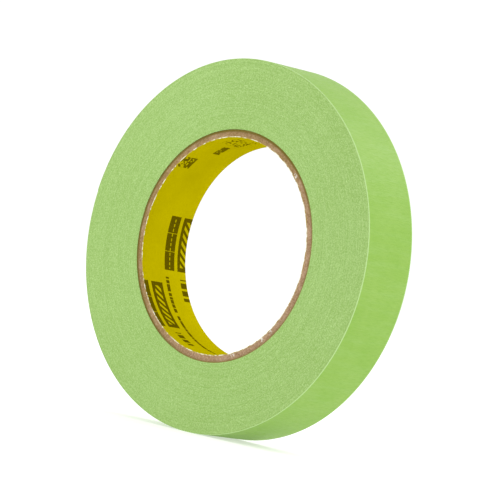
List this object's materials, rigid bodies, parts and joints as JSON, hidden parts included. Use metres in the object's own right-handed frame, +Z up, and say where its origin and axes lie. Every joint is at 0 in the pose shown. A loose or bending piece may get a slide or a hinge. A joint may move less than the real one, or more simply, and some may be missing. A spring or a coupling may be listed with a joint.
{
  "type": "masking tape roll",
  "caption": "Roll of crepe-paper masking tape wound on a spirally wound cardboard core with a printed liner, with a free end that peels off the outside.",
  "frame": {"origin": "middle of the core's bore", "axes": "+Y along the roll's axis, away from the front side face; +Z up with the roll standing on its rim"},
  "size_m": [0.1315, 0.0231, 0.1315],
  "materials": {
    "crepe_paper": "matt crepe",
    "wound_tape": "matt, layered edges",
    "adhesive": "tacky satin",
    "chipboard": "matt fibrous",
    "kraft": "matt",
    "printed_paper": "satin print"
  },
  "bodies": {
    "roll": {"core_liner": "printed_paper", "core_ply_1": "chipboard", "core_ply_2": "chipboard", "core_ply_3": "chipboard", "core_ply_4": "chipboard", "core_ply_5": "chipboard", "core_outer_wrap": "kraft", "tape_wound_pack": "wound_tape", "outer_turn_adhesive": "adhesive", "outer_turn_backing": "crepe_paper"},
    "free_end": {"free_end_adhesive": "adhesive", "free_end_backing": "crepe_paper"}
  },
  "joints": [
    {"name": "free_end_peel", "type": "hinge", "parent": "roll", "child": "free_end", "pos_m": [-0.04667, 0, 0.04643], "axis": [0, 1, 0], "range_deg": [0, 110]}
  ]
}
